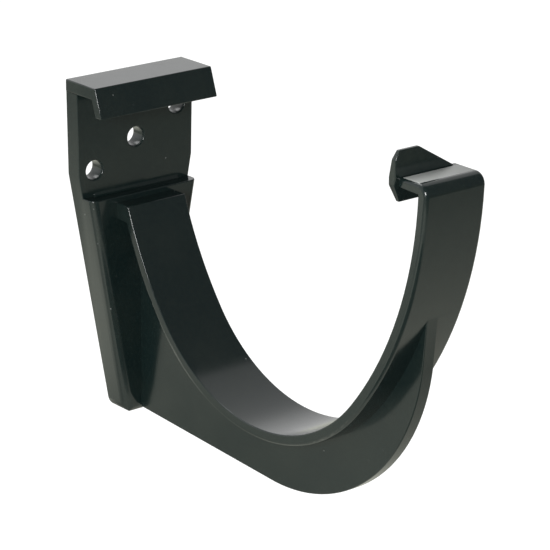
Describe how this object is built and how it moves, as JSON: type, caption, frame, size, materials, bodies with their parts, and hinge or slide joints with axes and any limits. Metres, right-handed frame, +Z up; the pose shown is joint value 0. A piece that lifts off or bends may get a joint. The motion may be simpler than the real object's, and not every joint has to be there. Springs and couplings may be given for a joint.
{
  "type": "gutter bracket",
  "caption": "One-piece moulded plastic fascia bracket with a U-shaped strap, stiffening web, rear hook and front snap clip, screwed to a wall to carry a deep round gutter",
  "frame": {"origin": "on the wall plane, on the axis of the middle screw hole", "axes": "+Z up, +X along the gutter, -Y straight out of the wall"},
  "size_m": [0.0376, 0.1265, 0.1014],
  "materials": {
    "black_plastic": "glossy black injection-moulded plastic, polished all over"
  },
  "bodies": {
    "root": {"bracket_body": "black_plastic"}
  },
  "joints": []
}
